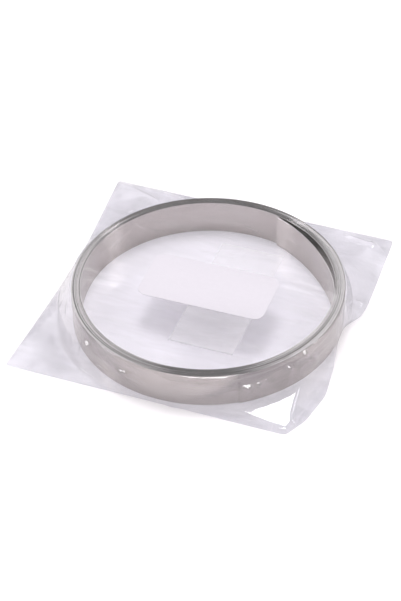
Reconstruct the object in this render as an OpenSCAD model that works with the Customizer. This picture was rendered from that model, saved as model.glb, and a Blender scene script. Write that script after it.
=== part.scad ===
// Coil of nickel-plated steel strip, packed flat in a clear film bag with a paper label and a closing tape.

/* [Strip] */
// Width of the strip, which is the height of the coil
strip_w = 8; // [4:0.5:20]
// Thickness of the strip
strip_t = 0.15; // [0.1:0.01:0.3]
// Length of strip wound into the coil
strip_l = 2000; // [1000:50:3000]
// Bevel of the slit edges, as a share of the thickness
slit_share = 0.27; // [0.15:0.01:0.4]

/* [Coil] */
// Outside diameter of the coil
coil_d = 58; // [50:1:80]
// Air between one turn and the next
turn_gap = 0.03; // [0.01:0.005:0.06]
// Direction in which the inner end of the strip lies
end_dir = 75; // [0:1:180]
// Arc over which the inner end stands off the other turns
end_arc = 67; // [55:1:75]
// Widest gap behind the inner end
end_gap = 1.2; // [0.5:0.1:1.4]

/* [Bag] */
// Thickness of the film
film_t = 0.06; // [0.04:0.01:0.1]
// Film to the left of the coil
left_room = 6; // [3:0.5:12]
// Film to the right of the coil
right_room = 3; // [2:0.5:12]
// Film in front of the coil, up to the bottom fold
front_room = 1; // [0.9:0.1:12]
// Film behind the coil, up to the mouth
back_room = 7; // [3:0.5:12]
// How far the film runs out from the coil's rim down to its foot
foot_run = 3; // [2:0.1:4]
// Height of the film over the coil's foot
foot_rise = 1.8; // [1:0.1:3]
// How far the film's foot is tilted up towards the right back corner
foot_tilt = 1.5; // [0:0.1:1.7]
// Width of the creased and sealed edges
edge_w = 0.3; // [0.2:0.05:0.6]
// Room between the film and the outside of the coil
film_fit = 0.1; // [0.05:0.05:0.2]
// Gap between the two films at the mouth
mouth_gap = 0.04; // [0.02:0.01:0.1]
// Rounding of the bag's corners
corner_r = 1.5; // [1:0.1:3]
// How far the right front corner is drawn in
corner_in = 3.5; // [0:0.5:5]
// How far the back corners are drawn in
back_in = 0.8; // [0:0.1:3]
// Where the right seam leaves the coil towards the front corner
waist_front = 16; // [10:1:20]
// Where the right seam leaves the coil towards the back corner
waist_back = 10; // [6:1:20]

/* [Label] */
// Width of the label
label_w = 28; // [15:0.5:36]
// Height of the label
label_h = 14; // [6:0.5:20]
// Thickness of the label
label_t = 0.1; // [0.06:0.01:0.2]
// Rounding of the label's corners
label_r = 2.2; // [1:0.1:3]
// Label's middle to the right of the coil's axis
label_x = 0.7; // [-3:0.1:3]
// Label's middle behind the coil's axis
label_y = -1; // [-3:0.1:3]
// How far the label is turned out of square
label_turn = 0.5; // [-10:0.5:10]

/* [Tape] */
// Width of the tape
tape_w = 14; // [8:0.1:18]
// Length of the tape
tape_l = 33.5; // [20:0.5:40]
// Thickness of the tape
tape_t = 0.05; // [0.03:0.01:0.08]
// Tape's middle to the right of the coil's axis
tape_x = 5.7; // [-6:0.1:6]
// Toothed end of the tape in front of the coil's axis
tape_front = 20; // [12:0.25:22]
// Spacing of the teeth on the cut end
tooth_pitch = 1.03; // [0.8:0.01:1.6]
// Depth of the teeth on the cut end
tooth_h = 0.5; // [0.2:0.1:0.8]
// Room beside the tape under the label
tape_fit = 0.05; // [0.02:0.01:0.1]

/* [Hidden] */
round_fn = 120;
corner_fn = 24;
half = 0.5;
full_turn = 360;

// Coil: the turns follow from the length of strip, its thickness and the gap between turns.
coil_r = coil_d * half;
pitch = strip_t + turn_gap;
turns = (coil_r - sqrt(coil_r * coil_r - strip_l * pitch / PI)) / pitch;
full = floor(turns);
bevel = strip_t * slit_share;
bore_r = coil_r - full * pitch + turn_gap;

// Inner end: what is left over after the full turns, with its last arc sprung inwards.
root_lap = 1.5;
lap_arc = max((turns - full) * full_turn, end_arc + root_lap + root_lap);
free_r = bore_r - turn_gap - strip_t * half;
half_arc = end_arc * half;
half_chord = free_r * sin(half_arc);
bow_rise = free_r * (1 - cos(half_arc)) - end_gap;
bow_r = (half_chord * half_chord + bow_rise * bow_rise) / (bow_rise + bow_rise);
bow_arc = asin(half_chord / bow_r);
bow_x = free_r * cos(half_arc) + bow_rise - bow_r;

// Levels: the underside is at zero, and the coil stands on the bottom film.
seat_z = film_t;
lid_z = seat_z + strip_w;
top_z = lid_z + film_t;
edge_h = film_t + mouth_gap + film_t;

// Bag: the middle of its outline is over the origin.
coil_x = (left_room - right_room) * half;
coil_y = (front_room - back_room) * half;
left_x = -coil_r - left_room;
right_x = coil_r + right_room;
front_y = -coil_r - front_room;
back_y = coil_r + back_room;
sleeve_r = coil_r + film_fit;
front_left = [left_x + back_in, front_y];
front_right = [right_x - corner_in, front_y];
shoulder = [right_x - back_in, -waist_front];
ear = [right_x, waist_back];
back_right = [right_x - back_in, back_y];
back_left = [left_x, back_y];
sides = [
    [front_left, front_right],
    [front_right, shoulder],
    [ear, back_right],
    [back_right, back_left],
    [back_left, front_left]
];

// Tape: kept on the flat lid, inside the coil's rim.
tape_far = abs(tape_x) + tape_w * half;
tape_reach = sqrt(coil_r * coil_r - tape_far * tape_far);
tape_fore = min(tape_front, tape_reach);
tape_back = min(tape_l - tape_fore, tape_reach);
teeth = round(tape_w / tooth_pitch);
tooth_w = tape_w / teeth;

// Section of the full turns: each turn's slit edges are bevelled, so the turns show as rings.
function turn_out(k) = coil_r - k * pitch;
function turn_in(k) = coil_r - k * pitch - strip_t;
function turn_top(k) = [
    [turn_out(k), strip_w - bevel],
    [turn_out(k) - bevel, strip_w],
    [turn_in(k) + bevel, strip_w],
    [turn_in(k), strip_w - bevel]
];
function turn_foot(k) = [
    [turn_in(k), bevel],
    [turn_in(k) + bevel, 0],
    [turn_out(k) - bevel, 0],
    [turn_out(k), bevel]
];
turn_tops = [for (k = [0 : full - 1]) each turn_top(k)];
turn_feet = [for (k = [full - 1 : -1 : 0]) each turn_foot(k)];

// The part of the inner turn that lies against the others.
module lapped_turn() {
    rotate([0, 0, end_dir - lap_arc])
        rotate_extrude(angle = lap_arc - end_arc + root_lap, $fn = round_fn)
            translate([bore_r - pitch, 0])
                square([pitch + strip_t * half, strip_w - bevel]);
}

// The inner end, flatter than the coil, so that it stands off in the middle and touches at its tip.
module sprung_end() {
    rotate([0, 0, end_dir - half_arc])
        translate([bow_x, 0, 0])
            rotate([0, 0, -bow_arc])
                rotate_extrude(angle = bow_arc + bow_arc, $fn = round_fn)
                    translate([bow_r - strip_t * half, 0])
                        square([strip_t, strip_w]);
}

module strip_coil() {
    color([0.72, 0.69, 0.67])
        translate([coil_x, coil_y, seat_z]) {
            rotate_extrude($fn = round_fn)
                polygon(concat(turn_tops, turn_feet));
            lapped_turn();
            sprung_end();
        }
}

// One straight edge of the bag, between two corners, with the film stretched from it to the coil's rim.
module fold_over(side, inset, foot_z, foot_h, rim_z) {
    hull() {
        bag_corner(side[0], inset, foot_z, foot_h);
        bag_corner(side[1], inset, foot_z, foot_h);
        coil_disc(inset, foot_z);
        coil_disc(inset, rim_z);
    }
}

// The same edge, with the film lying low between it and the coil's foot.
module low_fold(side, inset, foot_z, foot_h) {
    hull() {
        bag_corner(side[0], inset, foot_z, foot_h);
        bag_corner(side[1], inset, foot_z, foot_h);
        coil_disc(inset, foot_z);
        foot_disc(inset);
    }
}

// The film that falls steeply from the coil's rim.
module skirt(inset, rim_z) {
    hull() {
        foot_disc(inset);
        coil_disc(inset, rim_z);
    }
}

// The rounded corner of the bag, set in from both edges that meet there.
module bag_corner(at, inset, foot_z, foot_h) {
    translate([at[0] - sign(at[0]) * corner_r, at[1] - sign(at[1]) * corner_r, foot_z])
        cylinder(r = corner_r - inset, h = foot_h, $fn = corner_fn);
}

// The film round the coil's foot or rim.
module coil_disc(inset, rim_z) {
    translate([0, 0, rim_z])
        cylinder(r = sleeve_r + (inset > 0 ? 0 : film_t), h = film_t * half, $fn = round_fn);
}

// The film round the coil's foot, tilted a little.
module foot_disc(inset) {
    translate([0, 0, foot_rise + (inset > 0 ? 0 : film_t)])
        rotate(a = foot_tilt, v = [1, -1, 0])
            translate([0, 0, -film_t * half])
                cylinder(r = coil_r + foot_run + (inset > 0 ? 0 : film_t), h = film_t * half, $fn = round_fn);
}

// The shape of the closed bag, outside or inside: steep round the coil and low towards its edges.
module bag_shape(inset, foot_z, foot_h, rim_z) {
    intersection() {
        for (side = sides)
            fold_over(side, inset, foot_z, foot_h, rim_z);
        union() {
            skirt(inset, rim_z);
            for (side = sides)
                low_fold(side, inset, foot_z, foot_h);
        }
    }
}

// The slit between the two films along the back edge, which is the bag's mouth.
module mouth() {
    translate([left_x + corner_r, back_y - edge_w - edge_w, seat_z])
        cube([right_x - left_x - corner_r - corner_r - back_in, edge_w * 3, mouth_gap]);
}

module bag() {
    color([0.9, 0.9, 0.93, 0.3])
        translate([coil_x, coil_y, 0])
            difference() {
                bag_shape(0, 0, edge_h, top_z - film_t * half);
                bag_shape(edge_w, seat_z, mouth_gap, lid_z - film_t * half);
                mouth();
            }
}

// The label lies on the film and steps up over the tape.
module label() {
    color([0.95, 0.94, 0.97])
        translate([coil_x, coil_y, top_z]) {
            difference() {
                label_card(0);
                tape_band(tape_fit, -tape_t, tape_t + tape_t);
            }
            intersection() {
                label_card(tape_t);
                tape_band(tape_fit + label_t, 0, tape_t + label_t);
            }
        }
}

// The label's flat shape at some height above the film.
module label_card(z) {
    translate([label_x, label_y, z])
        rotate([0, 0, label_turn])
            round_card(label_w, label_h, label_r, label_t);
}

// A block as long and wide as the tape with some room round it.
module tape_band(room, z, h) {
    translate([tape_x - tape_w * half - room, -tape_fore - room, z])
        cube([tape_w + room + room, tape_fore + tape_back + room + room, h]);
}

// A flat card with round corners, its middle at the origin.
module round_card(w, h, r, t) {
    translate([-w * half + r, -h * half, 0])
        cube([w - r - r, h, t]);
    translate([-w * half, -h * half + r, 0])
        cube([w, h - r - r, t]);
    for (x = [-1, 1], y = [-1, 1])
        translate([x * (w * half - r), y * (h * half - r), 0])
            cylinder(r = r, h = t, $fn = round_fn);
}

module tape() {
    color([0.93, 0.93, 0.95, 0.5])
        translate([coil_x + tape_x - tape_w * half, coil_y, top_z])
            linear_extrude(tape_t)
                polygon(concat(tooth_line, [[tape_w, tape_back], [0, tape_back]]));
}

// The toothed end, from left to right.
tooth_line = [
    for (k = [0 : teeth + teeth])
        [k * tooth_w * half, -tape_fore + (k % 2) * tooth_h]
];

strip_coil();
bag();
label();
tape();
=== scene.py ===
"""Studio scene of a coil of nickel-plated strip, packed flat in a clear film bag.

The strip is rolled up from its flat length, one film is drawn over the coil and lies flat under it, and a
bare paper label and a strip of clear tape finish the pack. Lengths are in millimetres until a mesh is
written. Places are about the coil's axis: X runs along the bag's bottom fold, Y towards its mouth and Z up.
"""

import logging
import math
from dataclasses import dataclass, field
from enum import Enum

import bpy
import numpy as np
from mathutils import Matrix, Vector


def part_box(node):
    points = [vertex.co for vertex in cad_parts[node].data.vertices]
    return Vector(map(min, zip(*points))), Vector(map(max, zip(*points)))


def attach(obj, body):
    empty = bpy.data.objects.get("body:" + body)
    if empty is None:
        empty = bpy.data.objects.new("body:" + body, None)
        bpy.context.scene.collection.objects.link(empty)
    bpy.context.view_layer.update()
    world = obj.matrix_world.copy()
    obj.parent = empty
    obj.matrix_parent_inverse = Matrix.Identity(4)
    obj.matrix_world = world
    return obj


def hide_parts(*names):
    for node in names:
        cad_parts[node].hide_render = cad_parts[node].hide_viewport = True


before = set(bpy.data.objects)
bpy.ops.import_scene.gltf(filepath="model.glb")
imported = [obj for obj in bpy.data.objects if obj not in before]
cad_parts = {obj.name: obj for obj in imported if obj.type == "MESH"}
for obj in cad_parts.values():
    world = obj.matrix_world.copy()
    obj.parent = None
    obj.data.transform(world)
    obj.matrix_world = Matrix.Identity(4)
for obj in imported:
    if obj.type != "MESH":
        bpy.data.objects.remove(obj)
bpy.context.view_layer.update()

LOG = logging.getLogger("nickel_strip")
MM = 0.001
BODY = "root"
CUT_EDGE = math.radians(60)


class Way(Enum):
    """The direction in which a strip is wound from its inner end, seen from above."""

    CLOCKWISE = -1
    ANTICLOCKWISE = 1


def linear(colour: str) -> tuple[float, float, float, float]:
    """Turn an sRGB hex colour into linear light.

    Args:
        colour: six hex digits, with a leading hash.

    Returns:
        The red, green, blue and alpha that a shader socket takes.
    """
    parts = [int(colour[k : k + 2], 16) / 255 for k in (1, 3, 5)]
    lit = [c / 12.92 if c <= 0.04045 else ((c + 0.055) / 1.055) ** 2.4 for c in parts]
    return (*lit, 1.0)


def add_node(tree: bpy.types.NodeTree, kind: str, links: dict | None = None, **settings) -> bpy.types.Node:
    """Add one shader node.

    Args:
        tree: the material's node tree.
        kind: the node's type name, without its ShaderNode prefix.
        links: input name or number to the output socket that feeds it, or to a constant value.
        settings: attributes of the node itself.

    Returns:
        The new node.
    """
    node = tree.nodes.new("ShaderNode" + kind)
    for name, value in settings.items():
        setattr(node, name, value)
    for name, value in (links or {}).items():
        if isinstance(value, bpy.types.NodeSocket):
            tree.links.new(value, node.inputs[name])
        else:
            node.inputs[name].default_value = value
    return node


def new_material(name: str) -> tuple[bpy.types.Material, bpy.types.NodeTree, bpy.types.Node]:
    """Start a node material with nothing but its output.

    Args:
        name: the finish's common name.

    Returns:
        The material, its node tree and its output node.
    """
    material = bpy.data.materials.new(name)
    material.use_nodes = True
    material.node_tree.nodes.clear()
    return material, material.node_tree, add_node(material.node_tree, "OutputMaterial")


def deselect() -> None:
    """Leave nothing selected, so that an operator acts on the new piece alone."""
    if bpy.context.object and bpy.context.object.mode != "OBJECT":
        bpy.ops.object.mode_set(mode="OBJECT")
    bpy.ops.object.select_all(action="DESELECT")


def select_only(piece: bpy.types.Object) -> None:
    """Select one piece and make it active.

    Args:
        piece: the mesh object that the next operator acts on.
    """
    deselect()
    bpy.context.view_layer.objects.active = piece
    piece.select_set(True)


def points_of(piece: bpy.types.Object) -> np.ndarray:
    """Read a mesh's points in millimetres.

    Args:
        piece: a mesh object.

    Returns:
        One row of X, Y and Z for each vertex.
    """
    flat = np.empty(len(piece.data.vertices) * 3)
    piece.data.vertices.foreach_get("co", flat)
    return flat.reshape(-1, 3) / MM


def set_points(piece: bpy.types.Object, points: np.ndarray) -> None:
    """Write a mesh's points, given in millimetres."""
    piece.data.vertices.foreach_set("co", (points * MM).ravel())
    piece.data.update()


def flat_grid(name: str, columns: int, rows: int) -> bpy.types.Object:
    """Add a flat grid whose points run from 0 to 1 both ways, in metres, with a UV map to match.

    Args:
        name: the new object's name.
        columns: cells along X.
        rows: cells along Y.

    Returns:
        The new object, selected and active.
    """
    deselect()
    bpy.ops.mesh.primitive_grid_add(
        x_subdivisions=columns, y_subdivisions=rows, size=1, calc_uvs=True, location=(0.5, 0.5, 0)
    )
    bpy.ops.object.transform_apply(location=True, rotation=True, scale=True)
    piece = bpy.context.object
    piece.name = name
    piece.data.name = name
    return piece


def apply_modifier(piece: bpy.types.Object, kind: str, **settings) -> None:
    """Add a modifier to a piece and apply it at once.

    Args:
        piece: the mesh object.
        kind: the modifier's type.
        settings: the modifier's attributes.
    """
    select_only(piece)
    modifier = piece.modifiers.new(kind.title(), kind)
    for name, value in settings.items():
        setattr(modifier, name, value)
    bpy.ops.object.modifier_apply(modifier=modifier.name)


def smooth_by_angle(piece: bpy.types.Object, degrees: float) -> None:
    """Shade a piece smooth, but for edges that turn more than an angle."""
    select_only(piece)
    bpy.ops.object.shade_smooth_by_angle(angle=math.radians(degrees))


def weld(piece: bpy.types.Object) -> None:
    """Join the points of a piece that lie on each other, and turn its faces outwards.

    Args:
        piece: the mesh object.
    """
    select_only(piece)
    bpy.ops.object.mode_set(mode="EDIT")
    bpy.ops.mesh.select_all(action="SELECT")
    bpy.ops.mesh.remove_doubles(threshold=0.001 * MM)
    bpy.ops.mesh.normals_make_consistent(inside=False)
    bpy.ops.object.mode_set(mode="OBJECT")


def smoothstep(low: float, high: float, value: np.ndarray) -> np.ndarray:
    """Rise smoothly from 0 at low to 1 at high."""
    t = np.clip((value - low) / (high - low), 0, 1)
    return t * t * (3 - 2 * t)


def soft_least(a: np.ndarray, b: np.ndarray, blend: float) -> np.ndarray:
    """Give the lesser of two heights, with a rounded crease where they cross.

    Args:
        a: one height at each place.
        b: the other height.
        blend: how far apart the two are where the rounding ends.

    Returns:
        The lesser height.
    """
    share = np.clip(0.5 + 0.5 * (b - a) / blend, 0, 1)
    return b + (a - b) * share - blend * share * (1 - share)


def hand_in(piece: bpy.types.Object, node: str, slot: str, *finishes: bpy.types.Material) -> None:
    """Dress a piece and say which CAD node it stands for.

    Args:
        piece: the finished mesh object.
        node: the CAD node that it replaces.
        slot: the record's material slot; not used.
        finishes: the materials that it doesn't have yet, in the order that its faces count them.
    """
    for finish in finishes:
        piece.data.materials.append(finish)
    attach(piece, BODY)
    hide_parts(node)
    LOG.info("%s: %d faces for %s", piece.name, len(piece.data.polygons), node)


@dataclass(frozen=True)
class NickelPlate:
    """Bright nickel plate on cold-rolled steel strip."""

    # Rolling gives the eye a warm satin grey with lines along the strip, drawn coarse enough to show.
    colour: str = "#C7C0BC"
    dull: str = "#B7B0AC"
    roughness: float = 0.24
    smoothest: float = -0.05
    roughest: float = 0.07
    line_mm: float = 0.25
    line_run_mm: float = 14.0
    cloud_mm: float = 6.0
    cloud_run_mm: float = 30.0
    relief_mm: float = 0.004

    def material(self, strip_l: float, strip_w: float) -> bpy.types.Material:
        """Make the plate's material on the strip's own length and width.

        Args:
            strip_l: length of the strip in millimetres.
            strip_w: width of the strip in millimetres.

        Returns:
            The material.
        """
        material, tree, out = new_material("nickel_plate")
        place = add_node(tree, "TexCoord").outputs["UV"]
        line_size = (strip_l / self.line_run_mm, strip_w / self.line_mm, 1)
        along = add_node(tree, "Mapping", {"Vector": place, "Scale": line_size}).outputs[0]
        lines = add_node(tree, "TexNoise", {"Vector": along, "Scale": 1.0, "Detail": 3.0}).outputs["Fac"]
        cloud_size = (strip_l / self.cloud_run_mm, strip_w / self.cloud_mm, 1)
        spread = add_node(tree, "Mapping", {"Vector": place, "Scale": cloud_size}).outputs[0]
        cloud = add_node(tree, "TexNoise", {"Vector": spread, "Scale": 1.0, "Detail": 2.0}).outputs["Fac"]
        tones = {0: cloud, 6: linear(self.dull), 7: linear(self.colour)}
        tone = add_node(tree, "Mix", tones, data_type="RGBA").outputs[2]
        low, high = self.roughness + self.smoothest, self.roughness + self.roughest
        rough = add_node(tree, "MapRange", {"Value": lines, "To Min": low, "To Max": high}).outputs[0]
        relief = {"Height": lines, "Strength": 0.25, "Distance": self.relief_mm * MM}
        bump = add_node(tree, "Bump", relief).outputs[0]
        plate = {"Base Color": tone, "Metallic": 1.0, "Roughness": rough, "Normal": bump}
        shader = add_node(tree, "BsdfPrincipled", plate)
        tree.links.new(shader.outputs[0], out.inputs["Surface"])
        return material


@dataclass(frozen=True)
class SlitEdge:
    """The slit edges of plated steel strip, sheared and smooth."""

    # A narrow smooth edge mirrors one part of the room, so the eye sees each turn as a dark or light line.
    colour: str = "#D0CBCA"
    roughness: float = 0.1
    unevenness: float = 0.04
    grain_mm: float = 0.4

    def material(self) -> bpy.types.Material:
        """Make the slit edge's material.

        Returns:
            The material.
        """
        material, tree, out = new_material("slit_edge")
        place = add_node(tree, "TexCoord").outputs["Object"]
        fine = {"Vector": place, "Scale": 1 / (self.grain_mm * MM), "Detail": 3.0}
        grain = add_node(tree, "TexNoise", fine).outputs["Fac"]
        low, high = self.roughness - self.unevenness, self.roughness + self.unevenness
        rough = add_node(tree, "MapRange", {"Value": grain, "To Min": low, "To Max": high}).outputs[0]
        metal = {"Base Color": linear(self.colour), "Metallic": 1.0, "Roughness": rough}
        shader = add_node(tree, "BsdfPrincipled", metal)
        tree.links.new(shader.outputs[0], out.inputs["Surface"])
        return material


@dataclass(frozen=True)
class ClearFilm:
    """Clear drawn polypropylene film, plain or as adhesive tape."""

    # The eye sees it by its gloss at a slant, its faint streaks, and the ripples that break up reflections.
    name: str
    tint: str
    haze: float
    haze_colour: str
    roughness: float
    ior: float = 1.49
    gloss_power: float = 5.0
    streaks: float = 0.03
    streak_mm: float = 2.0
    streak_stretch: float = 0.2
    streak_turn: float = -0.06
    # Grey patches outside the coil are painted shade, for the darker room that the wrinkled film mirrors.
    shade_patches: float = 0.0
    shade_patch_mm: float = 9.0
    shade_patch_centre: tuple[float, float, float] = (0, 0, 0)
    shade_patch_from: float = 29.0
    shade_patch_fade: float = 5.0
    shade_patch_colour: str = "#B9B7BE"
    ripple_mm: float = 6.0
    ripple_stretch: float = 0.35
    relief_mm: float = 0.02

    def shade_patched(self, tree: bpy.types.NodeTree, body: bpy.types.NodeSocket) -> bpy.types.NodeSocket:
        """Grey the film in patches outside the coil: painted shade for the darker room that its wrinkles
        mirror.

        Args:
            tree: the material's node tree.
            body: the film's shader so far.

        Returns:
            The shader with its patches of painted shade.
        """
        place = add_node(tree, "TexCoord").outputs["Object"]
        shift = {0: place, 1: self.shade_patch_centre}
        centred = add_node(tree, "VectorMath", shift, operation="SUBTRACT").outputs[0]
        level = add_node(tree, "VectorMath", {0: centred, 1: (1, 1, 0)}, operation="MULTIPLY").outputs[0]
        away = add_node(tree, "VectorMath", {0: level}, operation="LENGTH").outputs["Value"]
        cloud = {"Vector": place, "Scale": 1 / (self.shade_patch_mm * MM), "Detail": 1.5}
        patch = add_node(tree, "TexNoise", cloud).outputs["Fac"]
        patchy = {"Value": patch, "From Min": 0.1, "From Max": 0.8, "To Max": self.shade_patches}
        patch_shade = add_node(tree, "MapRange", patchy).outputs[0]
        start, full = self.shade_patch_from * MM, (self.shade_patch_from + self.shade_patch_fade) * MM
        outside = add_node(tree, "MapRange", {"Value": away, "From Min": start, "From Max": full}).outputs[0]
        share = add_node(tree, "Math", {0: patch_shade, 1: outside}, operation="MULTIPLY").outputs[0]
        # This grey diffuse is the painted shade.
        dull = add_node(tree, "BsdfDiffuse", {"Color": linear(self.shade_patch_colour)}).outputs[0]
        return add_node(tree, "MixShader", {0: share, 1: body, 2: dull}).outputs[0]

    def material(self) -> bpy.types.Material:
        """Make the film's material: clear straight through, with a gloss that grows at a slant.

        Returns:
            The material.
        """
        material, tree, out = new_material(self.name)
        place = add_node(tree, "TexCoord").outputs["Object"]
        wave = self.ripple_mm * MM
        along = {"Vector": place, "Scale": (self.ripple_stretch / wave, 1 / wave, 1 / wave)}
        rippled = {"Vector": add_node(tree, "Mapping", along).outputs[0], "Scale": 1.0, "Detail": 2.0}
        ripple = add_node(tree, "TexNoise", rippled).outputs["Fac"]
        relief = {"Height": ripple, "Strength": 0.6, "Distance": self.relief_mm * MM}
        bump = add_node(tree, "Bump", relief).outputs[0]
        clear = add_node(tree, "BsdfTransparent", {"Color": linear(self.tint)}).outputs[0]
        milk = add_node(tree, "BsdfDiffuse", {"Color": linear(self.haze_colour)}).outputs[0]
        line = self.streak_mm * MM
        drawn = (self.streak_stretch / line, 1 / line, 1 / line)
        lean = (0, 0, self.streak_turn)
        lines = add_node(tree, "Mapping", {"Vector": place, "Scale": drawn, "Rotation": lean}).outputs[0]
        streak = add_node(tree, "TexNoise", {"Vector": lines, "Scale": 1.0, "Detail": 4.0}).outputs["Fac"]
        spread = {"Value": streak, "From Min": 0.42, "From Max": 0.72}
        milky = {**spread, "To Min": self.haze, "To Max": self.haze + self.streaks}
        cloud = add_node(tree, "MapRange", milky).outputs[0]
        body = add_node(tree, "MixShader", {0: cloud, 1: clear, 2: milk}).outputs[0]
        # Painted shade in grey patches outside the coil.
        if self.shade_patches:
            body = self.shade_patched(tree, body)
        gloss = add_node(tree, "BsdfAnisotropic", {"Roughness": self.roughness, "Normal": bump}).outputs[0]
        slant = add_node(tree, "LayerWeight", {"Blend": 0.5, "Normal": bump}).outputs["Facing"]
        rise = add_node(tree, "Math", {0: slant, 1: self.gloss_power}, operation="POWER").outputs[0]
        square_on = ((self.ior - 1) / (self.ior + 1)) ** 2
        share = add_node(tree, "MapRange", {"Value": rise, "To Min": square_on, "To Max": 1.0}).outputs[0]
        film = add_node(tree, "MixShader", {0: share, 1: body, 2: gloss})
        tree.links.new(film.outputs[0], out.inputs["Surface"])
        return material


@dataclass(frozen=True)
class LabelPaper:
    """Smooth coated label paper."""

    # The coating is a cool white and almost matt, with a faint mottle of fibres drawn coarse enough to show.
    colour: str = "#E9E3EC"
    shade: str = "#E3DDE6"
    roughness: float = 0.55
    fibre_mm: float = 0.8
    relief_mm: float = 0.01

    def material(self) -> bpy.types.Material:
        """Make the paper's material.

        Returns:
            The material.
        """
        material, tree, out = new_material("label_paper")
        place = add_node(tree, "TexCoord").outputs["Object"]
        mottle = {"Vector": place, "Scale": 1 / (self.fibre_mm * MM), "Detail": 4.0}
        fibre = add_node(tree, "TexNoise", mottle).outputs["Fac"]
        tones = {0: fibre, 6: linear(self.shade), 7: linear(self.colour)}
        tone = add_node(tree, "Mix", tones, data_type="RGBA").outputs[2]
        relief = {"Height": fibre, "Strength": 0.2, "Distance": self.relief_mm * MM}
        bump = add_node(tree, "Bump", relief).outputs[0]
        paper = {"Base Color": tone, "Roughness": self.roughness, "Normal": bump}
        shader = add_node(tree, "BsdfPrincipled", paper)
        tree.links.new(shader.outputs[0], out.inputs["Surface"])
        return material


@dataclass
class PackFrame:
    """Where the pack's pieces lie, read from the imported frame, in millimetres in the row's frame."""

    axis: np.ndarray = field(init=False)
    coil_r: float = field(init=False)
    seat_z: float = field(init=False)
    strip_w: float = field(init=False)

    def __post_init__(self) -> None:
        """Read the coil's box."""
        low, high = (np.array(p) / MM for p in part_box("strip_coil"))
        self.axis = (low + high)[:2] / 2
        self.coil_r = (high - low)[0] / 2
        self.seat_z = low[2]
        self.strip_w = (high - low)[2]

    def about_axis(self, node: str) -> tuple[np.ndarray, np.ndarray]:
        """Give a node's box about the coil's axis.

        Args:
            node: the CAD node's name.

        Returns:
            The lowest and highest corners, in millimetres.
        """
        low, high = (np.array(p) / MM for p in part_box(node))
        shift = np.array([*self.axis, 0])
        return low - shift, high - shift

    def place(self, points: np.ndarray) -> np.ndarray:
        """Move points from the coil's axis to the row's frame."""
        return points + np.array([*self.axis, 0])


@dataclass(frozen=True)
class Slack:
    """A stretch of the coil where the turns inside a certain one stand off the turns outside it."""

    after_turn: float
    direction: float
    spread: float
    gap: float


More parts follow.
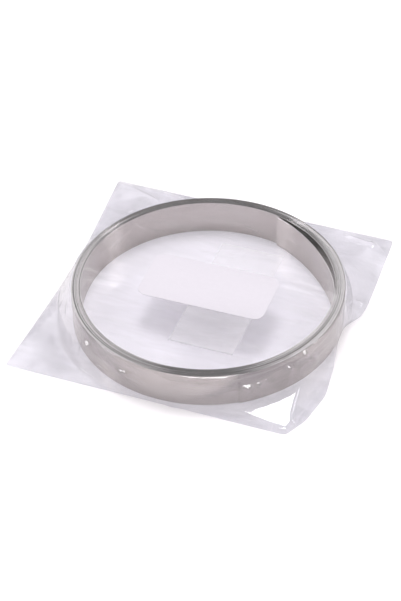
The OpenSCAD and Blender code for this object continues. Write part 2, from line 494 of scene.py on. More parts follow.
@dataclass
class StripCoil:
    """The strip, rolled up from its flat length, with its inner end sprung off the other turns."""

    pack: PackFrame
    strip_t: float = 0.15
    strip_l: float = 2000.0
    turn_gap: float = 0.012
    end_dir: float = 75.0
    end_arc: float = 67.0
    end_gap: float = 1.3
    tip_share: float = 0.15
    way: Way = Way.CLOCKWISE
    cells_per_turn: int = 150
    slit_bevel: float = 0.006
    slit_slant: float = 0.011
    slant_swing: float = 0.012
    slant_cycles: float = 0.43
    lift: float = 0.06
    outer_spring: float = 0.1
    outer_arc: float = 14.0
    swell: float = 0.4
    swell_dir: float = 38.0
    swell_spread: float = 75.0
    slow_wave: float = 0.37
    fast_wave: float = 1.31
    wave_phase: float = 1.1
    smooth_deg: float = 30.0
    slacks: tuple[Slack, ...] = (
        Slack(9.0, 208, 64, 0.12),
        Slack(5.4, 196, 50, 0.07),
        Slack(2.0, 46, 60, 0.24),
        Slack(7.0, 30, 50, 0.1),
        Slack(5.5, 330, 60, 0.2),
        Slack(8.4, 350, 55, 0.12),
        Slack(3.2, 262, 70, 0.2),
        Slack(6.6, 282, 65, 0.15),
        Slack(9.4, 250, 60, 0.12),
    )

    @property
    def pitch(self) -> float:
        """Distance from one turn to the next."""
        return self.strip_t + self.turn_gap

    @property
    def outer_mid_r(self) -> float:
        """Radius of the strip's middle at its outer end."""
        return self.pack.coil_r - self.strip_t / 2

    @property
    def turns(self) -> float:
        """Number of turns that the strip's length makes inside the coil's outside diameter."""
        r = self.outer_mid_r
        return (r - math.sqrt(r * r - self.strip_l * self.pitch / math.pi)) / self.pitch

    @property
    def inner_mid_r(self) -> float:
        """Radius of the strip's middle at its inner end, before that end springs."""
        return self.outer_mid_r - self.pitch * self.turns

    def turned(self, along: np.ndarray) -> np.ndarray:
        """Count the turns wound up to a place along the strip.

        Args:
            along: place along the strip's length, from its inner end, 0 to 1.

        Returns:
            The number of turns from the inner end.
        """
        length = along * self.strip_l
        return (np.sqrt(self.inner_mid_r**2 + self.pitch * length / math.pi) - self.inner_mid_r) / self.pitch

    def roll(self, along: np.ndarray, across: np.ndarray) -> np.ndarray:
        """Roll the flat strip up.

        Args:
            along: place along the strip's length, from its inner end, 0 to 1.
            across: place across its width, 0 to 1.

        Returns:
            The points of the coil about its axis.
        """
        turned = self.turned(along)
        angle = math.radians(self.end_dir) + self.way.value * turned * 2 * math.pi
        radius = self.inner_mid_r + turned * self.pitch
        sprung = self.tip_share + (1 - self.tip_share) * np.clip(turned * 360 / self.end_arc, 0, 1)
        radius -= self.end_gap * np.sin(sprung * math.pi) ** 1.5
        loose = np.clip(1 - (self.turns - turned) * 360 / self.outer_arc, 0, 1)
        radius += self.outer_spring * loose**2
        swell = np.degrees(np.abs(np.angle(np.exp(1j * (angle - math.radians(self.swell_dir))))))
        radius += self.swell * (1 - smoothstep(0, self.swell_spread, swell))
        for s in self.slacks:
            off = np.degrees(np.abs(np.angle(np.exp(1j * (angle - math.radians(s.direction))))))
            inside = 1 - smoothstep(s.after_turn - 0.5, s.after_turn + 0.5, turned)
            radius -= s.gap * inside * (1 - smoothstep(0, s.spread, off))
        slow = np.sin(turned * 2 * math.pi * self.slow_wave + self.wave_phase)
        ripple = slow + np.sin(turned * 2 * math.pi * self.fast_wave) + 2
        z = self.pack.seat_z + self.lift * ripple / 4 + across * (self.pack.strip_w - self.lift)
        return np.column_stack([radius * np.cos(angle), radius * np.sin(angle), z])

    def build(self) -> bpy.types.Object:
        """Roll the strip, give it its thickness, slant its upper slit edge and bevel both.

        The slant of the sheared edge changes from turn to turn, so that neighbours mirror different light.

        Returns:
            The coil's object.
        """
        cells = round(self.cells_per_turn * self.turns)
        coil = flat_grid("strip_coil_wound", cells, 1)
        flat = points_of(coil) * MM
        set_points(coil, self.pack.place(self.roll(flat[:, 0], flat[:, 1])))
        coil.data.materials.append(NickelPlate().material(self.strip_l, self.pack.strip_w))
        coil.data.materials.append(SlitEdge().material())
        apply_modifier(coil, "SOLIDIFY", thickness=self.strip_t * MM, offset=0, material_offset_rim=1)
        points = points_of(coil)
        out = np.hypot(*(points[:, :2] - np.array(self.pack.axis)).T)
        half = len(points) // 2
        outer = np.concatenate([out[:half] > out[half:], out[half:] > out[:half]])
        top = points[:, 2] > self.pack.seat_z + self.pack.strip_w / 2
        wound = np.tile(self.turned(flat[:, 0]), 2)
        slant = self.slit_slant + self.slant_swing * np.sin(wound * 2 * math.pi * self.slant_cycles)
        points[:, 2] -= np.where(outer & top, slant, 0)
        set_points(coil, points)
        cut = {"limit_method": "ANGLE", "angle_limit": CUT_EDGE, "material": 1}
        apply_modifier(coil, "BEVEL", width=self.slit_bevel * MM, segments=1, **cut)
        smooth_by_angle(coil, self.smooth_deg)
        return coil

    def dress(self, coil: bpy.types.Object) -> None:
        """Dress the coil and put it in place of its CAD node."""
        hand_in(coil, "strip_coil", "nickel")


class Laid(Enum):
    """How the two ends of a crease are given."""

    PLAN = "seen from above, in millimetres about the coil's axis"
    FILM = "a direction from the coil's axis in degrees, and a length of film from there"


class Fold(Enum):
    """The form of a crease."""

    RIDGE = "the film rises to a line and falls again"
    SHELF = "the film stands out at once on the side of the coil's axis and sinks back slowly beyond"


@dataclass(frozen=True)
class Crease:
    """A fold in the film along a straight line."""

    start: tuple[float, float]
    end: tuple[float, float]
    width: float
    height: float
    laid: Laid = Laid.FILM
    fold: Fold = Fold.RIDGE
    end_drop: float = 0.75
    shelf_tail: float = 4.0

    def offset(self, plan: tuple[np.ndarray, np.ndarray], film: tuple[np.ndarray, np.ndarray]) -> np.ndarray:
        """Give how far the fold lifts the film.

        Args:
            plan: X and Y of each point of the film, seen from above.
            film: X and Y of each point on the film laid flat.

        Returns:
            The lift at each point, in millimetres.
        """
        ends = (self.start, self.end)
        u, v = plan if self.laid is Laid.PLAN else film
        if self.laid is Laid.FILM:
            turns = [(math.radians(turn), out) for turn, out in ends]
            ends = [(out * math.cos(turn), out * math.sin(turn)) for turn, out in turns]
        a, b = (np.array(end) for end in ends)
        run = b - a
        t = np.clip(((u - a[0]) * run[0] + (v - a[1]) * run[1]) / (run @ run), 0, 1)
        gap = np.hypot(u - a[0] - t * run[0], v - a[1] - t * run[1])
        peak = self.height * (1 - self.end_drop * (2 * t - 1) ** 4)
        if self.fold is Fold.RIDGE:
            return peak * np.exp(-gap / self.width)
        inner = np.hypot(u, v) < np.hypot(a[0] + t * run[0], a[1] + t * run[1])
        sunk = np.exp(-gap / (self.shelf_tail * self.width))
        return peak * np.where(inner, np.clip(1 - gap / self.width, 0, 1), sunk)


@dataclass(frozen=True)
class Wrinkles:
    """Fine folds of one sort: how many, how far their directions spread, and the ranges of their sizes.

    The spread is in radians, and for folds that are laid on the film in degrees.
    """

    count: int
    lean: float
    length: tuple[float, float]
    width: tuple[float, float]
    height: tuple[float, float]

    def draw(self, rng: np.random.Generator, turn: float, out: float, way: float) -> Crease:
        """Draw one fold by chance, seen from above.

        Args:
            rng: where the random numbers come from.
            turn: direction of its start from the coil's axis, in radians.
            out: distance of its start from the axis.
            way: direction in which it would run without its lean.

        Returns:
            The fold.
        """
        start = (out * math.cos(turn), out * math.sin(turn))
        lean, long = way + rng.normal(0, self.lean), rng.uniform(*self.length)
        far = (start[0] + long * math.cos(lean), start[1] + long * math.sin(lean))
        return Crease(start, far, rng.uniform(*self.width), rng.uniform(*self.height), Laid.PLAN)


@dataclass(frozen=True)
class Hem:
    """A straight stretch of the bag's edge, by its first corner, and how steeply the film rises from it.

    The film may lie flat for a margin before it rises.
    """

    corner: tuple[float, float]
    slope: float
    end_slope: float
    margin: float = 0.0


@dataclass(frozen=True)
class Facet:
    """A flat piece of the film, by a point that it passes through and how it rises along X and along Y."""

    point: tuple[float, float, float]
    rise: tuple[float, float]


@dataclass(frozen=True)
class Hang:
    """How the film hangs off the coil's rim in one direction.

    It has some room off the coil's wall, falls within some distance, and ends at an edge that may be lifted.
    """

    direction: float
    stand: float
    fall: float
    lift: float = 0.0


@dataclass
class FilmBag:
    """The bag: one film that is drawn over the coil and down to the bag's edges, and lies flat under it."""

    pack: PackFrame
    film_t: float = 0.06
    lid_z: float = 8.095
    base_z: float = 0.03
    edge_z: float = 0.08
    corner_r: float = 1.6
    rays: int = 580
    lid_rows: int = 22
    rim_rows: int = 6
    skirt_rows: int = 46
    base_rows: int = 9
    edge_points: int = 1440
    section_points: int = 320
    smooth_deg: float = 50.0
    rim_room: float = 0.01
    rim_margin: float = 0.0006
    least_skirt: float = 0.15
    least_fall: float = 0.12
    most_fall: float = 0.9
    no_roof: float = 99.0
    slope_turn: tuple[float, float] = (0.3, 0.8)
    hem_blend: float = 0.2
    facet_blend: float = 0.1
    foot_blend: float = 0.5
    wall_folds: tuple[float, float] = (31.2, 32.6)
    over_bore: tuple[float, float] = (25.6, 26.4)
    past_coil: tuple[float, float] = (31.5, 33.0)
    seam_calm: float = 1.6
    flat: tuple[float, float] = (0.0675, 0.15)
    hems: tuple[Hem, ...] = (
        Hem((-34.1, -30.0), 0.07, 0.5),
        Hem((8.0, -30.0), 0.9, 1.0, 1.6),
        Hem((27.6, -30.0), 0.9, 0.9, 1.0),
        Hem((30.2, -24.8), 0.88, 0.9, 1.9),
        Hem((31.8, -16.6), 0.9, 1.1, 1.2),
        Hem((31.0, -8.0), 1.3, 1.5),
        Hem((29.8, -1.5), 1.5, 1.5),
        Hem((29.8, 3.5), 1.2, 0.8),
        Hem((31.6, 8.0), 0.7, 0.5),
        Hem((32.0, 12.0), 0.45, 0.3),
        Hem((31.0, 35.8), 0.22, 0.2),
        Hem((-35.2, 35.8), 0.16, 0.4),
        Hem((-33.3, 14.0), 0.9, 1.2),
        Hem((-32.7, 3.0), 1.2, 0.9),
        Hem((-32.9, -6.0), 0.4, 0.1),
    )
    facets: tuple[Facet, ...] = (Facet((27.0, -27.5, 0.3), (-0.06, 0.245)),)
    hangs: tuple[Hang, ...] = (
        Hang(-150, 0.3, 3.4),
        Hang(-132, 0.3, 3.0),
        Hang(-92, 0.3, 0.5),
        Hang(-84, 1.2, 0.4),
        Hang(-66, 1.5, 0.5),
        Hang(-62, 1.4, 1.0),
        Hang(-56, 0.6, 3.0),
        Hang(-47, 0.5, 3.7),
        Hang(-38, 0.4, 4.5),
        Hang(-28, 0.3, 3.2),
        Hang(-20, 0.3, 1.0, 0.4),
        Hang(2, 0.45, 0.5, 2.2),
        Hang(16, 0.65, 1.5, 0.5),
        Hang(38, 0.75, 2.8),
        Hang(62, 0.6, 2.8),
        Hang(110, 0.3, 2.8),
        Hang(160, 0.3, 3.2, 0.2),
        Hang(178, 0.3, 3.6, 0.9),
    )
    creases: tuple[Crease, ...] = (
        Crease((-129, 31.2), (-123, 31.65), 1.1, 0.78, fold=Fold.SHELF),
        Crease((-121, 34.2), (-112, 33.9), 0.6, 0.45, fold=Fold.SHELF),
        Crease((-109, 32.4), (-101, 31.6), 0.5, 0.48, fold=Fold.SHELF),
        Crease((-65.5, 30.25), (-61, 30.25), 0.5, 0.26, fold=Fold.SHELF),
        Crease((-62.6, 31.0), (-58.6, 30.9), 0.5, 0.78, fold=Fold.SHELF),
        Crease((-59.4, 31.85), (-55.6, 31.7), 0.6, 0.78, fold=Fold.SHELF),
        Crease((-56, 32.1), (-52.4, 31.68), 1.0, 1.14, fold=Fold.SHELF),
        Crease((-53, 31.8), (-46.5, 31.65), 0.55, 0.83, fold=Fold.SHELF),
        Crease((-38.2, 30.6), (-34.8, 31.45), 0.9, 0.51, fold=Fold.SHELF),
        Crease((-29.6, 29.95), (-25.6, 29.9), 0.7, 0.57, fold=Fold.SHELF),
        Crease((-26, 31.6), (-15, 35.6), 0.6, 0.5, fold=Fold.SHELF),
        Crease((-35.0, 34.6), (-23.5, 30.6), 0.5, 0.7, Laid.PLAN),
        Crease((-31.0, 35.0), (-17.0, 33.2), 0.6, 0.45, Laid.PLAN),
        Crease((20.5, 33.4), (31.0, 30.6), 0.5, 0.8, Laid.PLAN),
        Crease((28.0, 30.0), (26.0, 35.0), 0.6, 0.4, Laid.PLAN),
        Crease((28.6, 11.6), (32.6, 12.4), 0.5, 0.6, Laid.PLAN),
        Crease((14.6, 5.4), (26.0, 3.4), 0.9, 0.5, Laid.PLAN),
        Crease((-23.0, -6.8), (-13.0, -6.3), 0.8, 0.25, Laid.PLAN),
        Crease((-33.0, -28.5), (-22.0, -23.0), 1.5, 0.09, Laid.PLAN),
    )
    ears: tuple[int, ...] = (-139, 48, 135)
    lid_r: float = 27.0
    lid_start: tuple[float, float] = (0.1, 1)
    lid_wrinkles: Wrinkles = Wrinkles(40, 0.2, (4, 13), (0.4, 1.3), (-0.12, 0.14))
    ear_swing: float = 9.0
    ear_start: tuple[float, float] = (33, 47)
    ear_wrinkles: Wrinkles = Wrinkles(36, 0.6, (3, 9), (0.6, 1.6), (-0.1, 0.2))
    wall_start: tuple[float, float] = (30, 35)
    wall_wrinkles: Wrinkles = Wrinkles(34, 7, (0.5, 4), (0.3, 0.8), (0.08, 0.3))
    seed: int = 7

    def edge(self, count: int) -> np.ndarray:
        """Draw the bag's outline with its corners rounded.

        Args:
            count: number of points.

        Returns:
            Points round the outline about the coil's axis.
        """
        corners = np.array([hem.corner for hem in self.hems])
        sides = np.roll(corners, -1, 0) - corners
        reach = np.concatenate([[0], np.cumsum(np.linalg.norm(sides, axis=1))])
        at = np.linspace(0, reach[-1], count, endpoint=False)
        closed = np.vstack([corners, corners[:1]])
        line = np.column_stack([np.interp(at, reach, closed[:, k]) for k in (0, 1)])
        spread = max(1, round(self.corner_r / (reach[-1] / count)))
        kernel = np.hanning(2 * spread + 1)
        kernel /= kernel.sum()
        wide = np.vstack([line[-spread:], line, line[:spread]])
        return np.column_stack([np.convolve(wide[:, k], kernel, "valid") for k in (0, 1)])

    def roof(self, x: np.ndarray, y: np.ndarray) -> np.ndarray:
        """Give how high the film stands over the bag's edges, each of which it leaves at its own slope.

        Args:
            x: places along the bag's bottom fold.
            y: places towards its mouth.

        Returns:
            Height over the edge, with a ridge where the films of two edges meet.
        """
        low = np.full_like(x, self.no_roof)
        for hem, after in zip(self.hems, self.hems[1:] + self.hems[:1]):
            a, run = np.array(hem.corner), np.array(after.corner) - np.array(hem.corner)
            t = np.clip(((x - a[0]) * run[0] + (y - a[1]) * run[1]) / (run @ run), 0, 1)
            gap = np.hypot(x - a[0] - t * run[0], y - a[1] - t * run[1])
            slope = hem.slope + (hem.end_slope - hem.slope) * smoothstep(*self.slope_turn, t)
            low = soft_least(low, slope * np.clip(gap - hem.margin, 0, None), self.hem_blend)
        for facet in self.facets:
            (px, py, pz), (along_x, along_y) = facet.point, facet.rise
            low = soft_least(low, pz + along_x * (x - px) + along_y * (y - py), self.facet_blend)
        return np.clip(low, 0, None)

    def section(self, turn: float, reach: float, stand: float, steep: float, edge_z: float) -> np.ndarray:
        """Draw the upper film from the coil's axis out over the rim and down to the bag's edge.

        Args:
            turn: direction from the axis, in radians.
            reach: distance of the edge from the axis.
            stand: room between the film and the coil's wall at the rim.
            steep: how far out the film falls steeply.
            edge_z: height of the edge.

        Returns:
            Distance and height of each row's point.
        """
        wall = self.pack.coil_r + stand
        rim_r = stand + self.rim_room + math.sqrt(2 * self.rim_room * stand - self.rim_margin)
        lid = np.linspace(0, 1, self.lid_rows + 1) * (wall - rim_r)
        over = np.linspace(0, math.pi / 2, self.rim_rows + 1)[1:]
        rim = np.column_stack([wall - rim_r * (1 - np.sin(over)), self.lid_z - rim_r * (1 - np.cos(over))])
        far = max(reach, wall + self.least_skirt)
        out = np.linspace(wall, far, self.section_points)
        steep = np.clip(steep, self.least_fall, self.most_fall * (far - wall))
        fall = rim[-1, 1] - (out - wall) * (rim[-1, 1] - edge_z) / steep
        laid = edge_z + self.roof(out * math.cos(turn), out * math.sin(turn))
        fine = np.column_stack([out, -soft_least(-fall, -laid, self.foot_blend)])
        fine[0], fine[-1, 1] = rim[-1], edge_z
        run = np.concatenate([[0], np.cumsum(np.hypot(*np.diff(fine, axis=0).T))])
        at = np.linspace(0, run[-1], self.skirt_rows + 1)[1:]
        skirt = np.column_stack([np.interp(at, run, fine[:, k]) for k in (0, 1)])
        return np.vstack([np.column_stack([lid, np.full_like(lid, self.lid_z)]), rim, skirt])

    def folds(self) -> list[Crease]:
        """List the film's creases, and its fine wrinkles: along X on the lid, any way in the ears and walls.

        Returns:
            All the folds of the upper film.
        """
        rng = np.random.default_rng(self.seed)
        folds = list(self.creases)
        for _ in range(self.lid_wrinkles.count):
            turn, out = rng.uniform(0, 2 * math.pi), self.lid_r * math.sqrt(rng.uniform(*self.lid_start))
            folds.append(self.lid_wrinkles.draw(rng, turn, out, 0))
        for _ in range(self.ear_wrinkles.count):
            turn = math.radians(rng.choice(self.ears) + rng.normal(0, self.ear_swing))
            out = rng.uniform(*self.ear_start)
            folds.append(self.ear_wrinkles.draw(rng, turn, out, turn))
        walls = self.wall_wrinkles
        for _ in range(walls.count):
            turn, out = rng.uniform(-180, 180), rng.uniform(*self.wall_start)
            far = (turn + rng.normal(0, walls.lean), out + rng.uniform(*walls.length))
            folds.append(Crease((turn, out), far, rng.uniform(*walls.width), rng.uniform(*walls.height)))
        return folds

    def wrinkled(self, sheet: np.ndarray, label: "PaperLabel", tape: "ClosingTape") -> np.ndarray:
        """Fold and ripple the upper film.

        Args:
            sheet: rows by rays of points about the coil's axis.
            label: the label, under which the film is flat.
            tape: the tape, under which the film is flat.

        Returns:
            The film's points.
        """
        step = np.linalg.norm(np.diff(sheet, axis=0), axis=2)
        run = np.vstack([np.zeros(self.rays), np.cumsum(step, axis=0)])
        turn = np.arctan2(sheet[-1, :, 1], sheet[-1, :, 0])
        plan, film = (sheet[..., 0], sheet[..., 1]), (run * np.cos(turn), run * np.sin(turn))
        out = np.hypot(*plan)
        near_wall = 1 - smoothstep(*self.wall_folds, out)
        lift = np.zeros_like(out)
        for fold in self.folds():
            lift += fold.offset(plan, film) * (1 if fold.laid is Laid.PLAN else near_wall)
        free = np.maximum(1 - smoothstep(*self.over_bore, out), smoothstep(*self.past_coil, out))
        lift = np.where(lift < 0, lift * free, lift)
        lift *= (1 - label.cover(*plan)) * (1 - tape.cover(*plan))
        lift *= smoothstep(0, self.seam_calm, run[-1] - run)
        along = np.gradient(sheet, axis=0)
        around = np.roll(sheet, -1, 1) - np.roll(sheet, 1, 1)
        normal = np.cross(around, along)
        normal[0] = (0, 0, 1)
        normal /= np.maximum(np.linalg.norm(normal, axis=2, keepdims=True), 1e-9)
        normal *= np.where(normal[..., 2:] < -0.2, -1, 1)
        moved = sheet + normal * lift[..., None]
        moved[..., 2] = np.maximum(moved[..., 2], self.edge_z)
        return moved

    def under(self, edge: np.ndarray) -> np.ndarray:
        """Lay the lower film from the bag's edge in to the coil's axis.

        Args:
            edge: the bag's edge, one point a ray.

        Returns:
            Rows by rays of points, the edge left out.
        """
        reach = np.hypot(edge[:, 0], edge[:, 1])
        room = np.maximum(reach - self.pack.coil_r, self.least_skirt)
        near = self.base_rows // 3
        rows = []
        for k in range(1, self.base_rows + 1):
            inner = self.pack.coil_r * (self.base_rows - k) / (self.base_rows - near)
            out = reach - room * k / near if k <= near else inner
            share = out / reach
            z = self.base_z + (edge[:, 2] - self.base_z) * (1 - smoothstep(0, 0.9, (reach - out) / room))
            rows.append(np.column_stack([edge[:, 0] * share, edge[:, 1] * share, z]))
        return np.stack(rows)

    def build(self, label: "PaperLabel", tape: "ClosingTape") -> bpy.types.Object:
        """Draw the film over and under the coil and give it its thickness.

        Args:
            label: the label on the bag's lid.
            tape: the tape on its lid.

        Returns:
            The bag's object.
        """
        turn = -np.arange(self.rays) * 2 * math.pi / self.rays
        full = 2 * math.pi
        line = self.edge(self.edge_points)
        reach = np.interp(turn, np.arctan2(line[:, 1], line[:, 0]), np.hypot(*line.T), period=full)
        spot = np.radians([hang.direction for hang in self.hangs])
        hung = np.array([(hang.stand, hang.fall, self.edge_z + hang.lift) for hang in self.hangs])
        stand, steep, edge_z = (np.interp(turn, spot, values, period=full) for values in hung.T)
        flat = np.stack([self.section(*s) for s in zip(turn, reach, stand, steep, edge_z)], axis=1)
        sheet = np.dstack([flat[..., 0] * np.cos(turn), flat[..., 0] * np.sin(turn), flat[..., 1]])
        sheet = self.wrinkled(sheet, label, tape)
        sheet = np.concatenate([sheet, self.under(sheet[-1])])
        film = flat_grid("bag_film", self.rays, len(sheet) - 1)
        grid = points_of(film) * MM
        column = np.rint(grid[:, 0] * self.rays).astype(int) % self.rays
        row = np.rint(grid[:, 1] * (len(sheet) - 1)).astype(int)
        set_points(film, self.pack.place(sheet[row, column]))
        weld(film)
        apply_modifier(film, "SOLIDIFY", thickness=self.film_t * MM, offset=0)
        smooth_by_angle(film, self.smooth_deg)
        return film

    def dress(self, film: bpy.types.Object, coil: bpy.types.Object) -> None:
        """Dress the bag, a sheet folded round the coil, and put it in place of its CAD node.

        Args:
            film: the bag's object.
            coil: the coil's object, on which the film lies; not used.
        """
        finish = ClearFilm(
            "clear_film",
            tint="#FEFEFF",
            haze=0.012,
            haze_colour="#FFFFFF",
            roughness=0.05,
            # Painted shade: grey patches on the film outside the coil.
            shade_patches=0.11,
            shade_patch_centre=tuple(float(v) * MM for v in (*self.pack.axis, 0)),
        )
        hand_in(film, "bag", "film", finish.material())


@dataclass
class PaperLabel:
    """The label: a bare round-cornered piece of coated paper, stuck on the bag's lid and over the tape."""

    pack: PackFrame
    tape: "ClosingTape"
    width: float = 28.0
    depth: float = 14.0
    paper_t: float = 0.1
    corner_r: float = 2.2
    middle: tuple[float, float] = (0.7, -1.0)
    turned: float = 0.5
    under_z: float = 8.126
    step_run: float = 0.3
    corner_segments: int = 10
    edge_bevel: float = 0.025
    calm: tuple[float, float] = (0.3, 2.5)
    smooth_deg: float = 40.0

    def cover(self, x: np.ndarray, y: np.ndarray) -> np.ndarray:
        """Say where the film is held flat by the label.

        Args:
            x: places along the bag's bottom fold.
            y: places towards its mouth.

        Returns:
            1 under the label, falling to 0 a little outside it.
        """
        c, s = math.cos(math.radians(self.turned)), math.sin(math.radians(self.turned))
        dx, dy = x - self.middle[0], y - self.middle[1]
        along, across = abs(dx * c + dy * s), abs(dy * c - dx * s)
        out = np.hypot(np.clip(along - self.width / 2, 0, None), np.clip(across - self.depth / 2, 0, None))
        return 1 - smoothstep(*self.calm, out)

    def build(self) -> bpy.types.Object:
        """Cut the paper with its round corners, lay it over the tape and give it its thickness.

        Returns:
            The label's object.
        """
        deselect()
        bpy.ops.mesh.primitive_plane_add(size=1, location=(0, 0, 0))
        label = bpy.context.object
        label.name = label.data.name = "label_paper"
        bpy.ops.transform.resize(value=(self.width * MM, self.depth * MM, 1))
        bpy.ops.transform.translate(value=(self.middle[0] * MM, self.middle[1] * MM, 0))
        bpy.ops.object.transform_apply(location=True, rotation=True, scale=True)
        bpy.ops.object.mode_set(mode="EDIT")
        bpy.ops.mesh.select_all(action="SELECT")
        bpy.ops.mesh.bevel(offset=self.corner_r * MM, segments=self.corner_segments, affect="VERTICES")
        sides, runs = (self.tape.low[0], self.tape.high[0]), (-self.step_run, self.step_run)
        steps = [side + run for side in sides for run in runs]
        # The last cut splits the long face to the left of the tape.
        for cut in (*steps, self.middle[0] - self.width / 3):
            bpy.ops.mesh.select_all(action="SELECT")
            bpy.ops.mesh.bisect(plane_co=(cut * MM, 0, 0), plane_no=(1, 0, 0))
        bpy.ops.object.mode_set(mode="OBJECT")
        points = points_of(label)
        over = (points[:, 0] > self.tape.low[0]) & (points[:, 0] < self.tape.high[0])
        points[:, 2] = np.where(over, self.tape.tape_t, 0)
        set_points(label, points)
        apply_modifier(label, "SOLIDIFY", thickness=self.paper_t * MM, offset=1)
        cut_edge = {"limit_method": "ANGLE", "angle_limit": CUT_EDGE}
        apply_modifier(label, "BEVEL", width=self.edge_bevel * MM, segments=2, **cut_edge)
        points = points_of(label)
        c, s = math.cos(math.radians(self.turned)), math.sin(math.radians(self.turned))
        dx, dy = points[:, 0] - self.middle[0], points[:, 1] - self.middle[1]
        x, y = self.middle[0] + dx * c - dy * s, self.middle[1] + dx * s + dy * c
        set_points(label, self.pack.place(np.column_stack([x, y, points[:, 2] + self.under_z])))
        smooth_by_angle(label, self.smooth_deg)
        return label

    def dress(self, label: bpy.types.Object) -> None:
        """Dress the label and put it in place of its CAD node."""
        hand_in(label, "label", "label_paper", LabelPaper().material())


@dataclass
class ClosingTape:
    """The adhesive tape on the bag's lid, torn off along a toothed blade at its front end."""

    pack: PackFrame
    tape_t: float = 0.05
    under_z: float = 8.126
    tooth_pitch: float = 1.03
    tooth_h: float = 0.5
    curl: float = 0.3
    curl_run: float = 0.9
    rows: int = 60
    torn_rows: float = 1.5
    crowded: float = 0.15
    bites: tuple[float, ...] = (0, 0.5, 1, 0.5)
    calm: tuple[float, float] = (0.2, 1.6)
    smooth_deg: float = 40.0

    def __post_init__(self) -> None:
        """Read the tape's box about the coil's axis."""
        self.low, self.high = self.pack.about_axis("tape")

    def cover(self, x: np.ndarray, y: np.ndarray) -> np.ndarray:
        """Say where the film is held flat by the tape.

        Args:
            x: places along the bag's bottom fold.
            y: places towards its mouth.

        Returns:
            1 under the tape, falling to 0 a little outside it.
        """
        dx = np.maximum(self.low[0] - x, x - self.high[0])
        dy = np.maximum(self.low[1] - y, y - self.high[1])
        return 1 - smoothstep(*self.calm, np.maximum(dx, dy))

    def build(self) -> bpy.types.Object:
        """Cut the tape with its teeth, curl up its torn end and give it its thickness.

        Returns:
            The tape's object.
        """
        wide, long = (self.high - self.low)[:2]
        cells = len(self.bites) * round(wide / self.tooth_pitch)
        tape = flat_grid("closing_tape", cells, self.rows)
        grid = points_of(tape) * MM
        along = np.rint(grid[:, 0] * cells).astype(int) % len(self.bites)
        bite = self.tooth_h * np.array(self.bites)[along]
        back = long * np.where(grid[:, 1] < self.crowded, grid[:, 1] ** 2 / self.crowded, grid[:, 1])
        near_end = np.clip(1 - back / self.curl_run, 0, 1)
        y = self.low[1] + back + bite * near_end
        z = self.under_z + self.curl * near_end**2
        set_points(tape, self.pack.place(np.column_stack([self.low[0] + grid[:, 0] * wide, y, z])))
        torn = grid[:, 1] < self.torn_rows / self.rows
        for face in tape.data.polygons:
            face.material_index = int(all(torn[corner] for corner in face.vertices))
        apply_modifier(tape, "SOLIDIFY", thickness=self.tape_t * MM, offset=1)
        smooth_by_angle(tape, self.smooth_deg)
        return tape

    def dress(self, tape: bpy.types.Object) -> None:
        """Dress the tape and put it in place of its CAD node, clear but for a band of grey haze along its
        torn end.

        Args:
            tape: the tape's object.
        """
        clear = ClearFilm("clear_tape", "#FFFFFF", 0.13, "#FBF7FD", roughness=0.15, streaks=0.02)
        # The torn end gets a band of grey haze, darker than the clear tape.
        torn = ClearFilm("torn_tape", "#E6E4E8", 0.3, "#8E8B94", roughness=0.3, streaks=0.2)
        hand_in(tape, "tape", "clear_tape", clear.material(), torn.material())


@dataclass(frozen=True)
class SoftBox:
    """A square studio lamp, by the direction that its light comes from, and whether gloss mirrors it."""

    name: str
    towards: tuple[float, float, float]
    side: float
    power: float
    distance: float = 0.7
    mirrored: bool = True


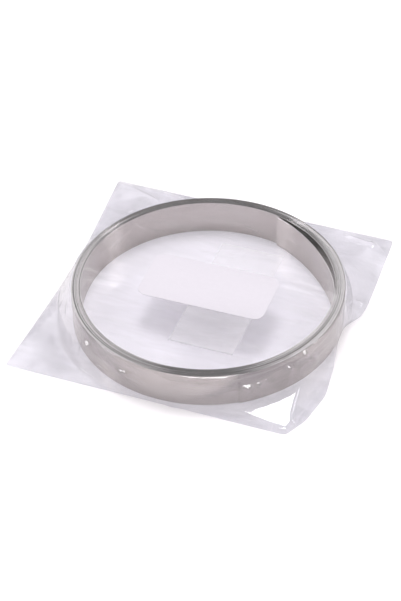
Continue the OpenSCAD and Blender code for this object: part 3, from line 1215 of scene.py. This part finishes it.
@dataclass
class Studio:
    """A pale floor, lamps above and to both sides, a quiet room and a camera at the photograph's angle.

    The large lamp overhead lights softly and isn't mirrored. A small one before it gives the film its glints.
    """

    floor_side: float = 8.0
    floor_z: float = -0.05
    floor_colour: str = "#EFEBEE"
    floor_glow: float = 0.36
    sky: float = 0.55
    far_sky: float = 0.23
    strip_sky: float = 1.35
    far_from: tuple[float, float] = (0.25, 0.45)
    far_within: tuple[float, float] = (0.75, 0.5)
    strip_beside: tuple[float, float] = (0.066, 0.1)
    strip_above: tuple[float, float] = (0.42, 0.54)
    lamps: tuple[SoftBox, ...] = (
        SoftBox("lamp_over", (-0.095, 0.24, 0.966), 0.32, 1.1, mirrored=False),
        SoftBox("lamp_glint", (-0.095, 0.24, 0.966), 0.12, 0.56, distance=0.68),
        SoftBox("lamp_left", (-0.74, -0.27, 0.65), 0.16, 0.6),
        SoftBox("lamp_right", (0.68, 0.34, 0.65), 0.16, 0.6),
    )
    focal_px: float = 2000.0
    frame_px: tuple[int, int] = (401, 601)
    azimuth: float = 21.1
    elevation: float = 41.31
    roll: float = -1.14
    distance: float = 431.9
    target: tuple[float, float, float] = (-1.134, -0.286, 0.06)

    def floor(self) -> None:
        """Lay matt studio paper just under the bag, with a glow that makes it white to look at."""
        deselect()
        bpy.ops.mesh.primitive_plane_add(size=self.floor_side, location=(0, 0, self.floor_z * MM))
        floor = bpy.context.object
        floor.name = "floor"
        material, tree, out = new_material("floor_paper")
        colour = {"Color": linear(self.floor_colour)}
        paper = add_node(tree, "BsdfDiffuse", colour).outputs[0]
        ray = add_node(tree, "LightPath").outputs
        seen = ray["Is Camera Ray"]
        for kind in ("Is Glossy Ray", "Is Transmission Ray"):
            seen = add_node(tree, "Math", {0: seen, 1: ray[kind]}, operation="MAXIMUM").outputs[0]
        glow = add_node(tree, "Math", {0: seen, 1: self.floor_glow}, operation="MULTIPLY").outputs[0]
        white = add_node(tree, "Emission", {**colour, "Strength": glow}).outputs[0]
        lit = add_node(tree, "AddShader", {0: paper, 1: white})
        tree.links.new(lit.outputs[0], out.inputs["Surface"])
        floor.data.materials.append(material)

    def light(self) -> None:
        """Hang the lamps."""
        for lamp in self.lamps:
            data = bpy.data.lights.new(lamp.name, "AREA")
            data.energy, data.size = lamp.power, lamp.side
            hung = bpy.data.objects.new(lamp.name, data)
            bpy.context.collection.objects.link(hung)
            way = Vector(lamp.towards).normalized()
            hung.location = way * lamp.distance
            hung.visible_glossy = lamp.mirrored
            hung.rotation_euler = way.to_track_quat("Z", "Y").to_euler()

    def room(self) -> None:
        """Set the room's even light, with a dim far side and a light strip on each side of its middle."""
        world = bpy.data.worlds.new("studio")
        world.use_nodes = True
        tree = world.node_tree
        turn = math.radians(self.azimuth)
        axes = ((math.cos(turn), math.sin(turn), 0), (-math.sin(turn), math.cos(turn), 0), (0, 0, 1))
        way = add_node(tree, "TexCoord").outputs["Generated"]
        pairs = [{0: way, 1: Vector(axis).normalized()} for axis in axes]
        dots = [add_node(tree, "VectorMath", pair, operation="DOT_PRODUCT") for pair in pairs]
        aside, away, up = (dot.outputs["Value"] for dot in dots)
        off = add_node(tree, "Math", {0: aside}, operation="ABSOLUTE").outputs[0]
        values, shares = (away, off, off, up), []
        spans = (self.far_from, self.far_within, self.strip_beside, self.strip_above)
        for value, (low, high) in zip(values, spans):
            span = {"Value": value, "From Min": low, "From Max": high}
            shares.append(add_node(tree, "MapRange", span, interpolation_type="SMOOTHSTEP").outputs[0])
        band = add_node(tree, "Math", {0: shares[0], 1: shares[1]}, operation="MULTIPLY").outputs[0]
        lit = add_node(tree, "Math", {0: shares[2], 1: shares[3]}, operation="MULTIPLY").outputs[0]
        levels = {"Value": lit, "To Min": self.far_sky, "To Max": self.strip_sky}
        far = add_node(tree, "MapRange", levels).outputs[0]
        level = add_node(tree, "Mix", {0: band, 2: self.sky, 3: far}).outputs[0]
        tree.links.new(level, tree.nodes["Background"].inputs["Strength"])
        tree.nodes["Background"].inputs["Color"].default_value = (1, 1, 1, 1)
        bpy.context.scene.world = world

    def camera(self) -> None:
        """Set the camera where the photograph was taken from."""
        a, e, r = (math.radians(v) for v in (self.azimuth, self.elevation, self.roll))
        right = Vector((math.cos(a), math.sin(a), 0))
        back = Vector((math.sin(a) * math.cos(e), -math.cos(a) * math.cos(e), math.sin(e)))
        up = back.cross(right)
        across = right * math.cos(r) + up * math.sin(r)
        upward = up * math.cos(r) - right * math.sin(r)
        data = bpy.data.cameras.new("camera")
        data.sensor_width = 36.0
        data.lens = self.focal_px * data.sensor_width / max(self.frame_px)
        data.clip_start, data.clip_end = 0.01, 50
        eye = bpy.data.objects.new("camera", data)
        bpy.context.collection.objects.link(eye)
        spot = Vector(self.target) * MM + back * self.distance * MM
        eye.matrix_world = Matrix.Translation(spot) @ Matrix((across, upward, back)).transposed().to_4x4()
        bpy.context.scene.camera = eye

    def build(self) -> None:
        """Set up the floor, the lamps, the room and the camera."""
        self.floor()
        self.light()
        self.room()
        self.camera()
        bpy.context.scene.view_settings.view_transform = "Standard"
        bpy.context.scene.cycles.transparent_max_bounces = 24


def main() -> None:
    """Build the pack's pieces in order."""
    logging.basicConfig(level=logging.INFO, format="%(name)s: %(message)s")
    pack = PackFrame()
    strip, bag, tape = StripCoil(pack), FilmBag(pack), ClosingTape(pack)
    label = PaperLabel(pack, tape)
    coil = strip.build()
    strip.dress(coil)
    bag.dress(bag.build(label, tape), coil)
    label.dress(label.build())
    tape.dress(tape.build())
    Studio().build()


if __name__ == "__main__":
    main()
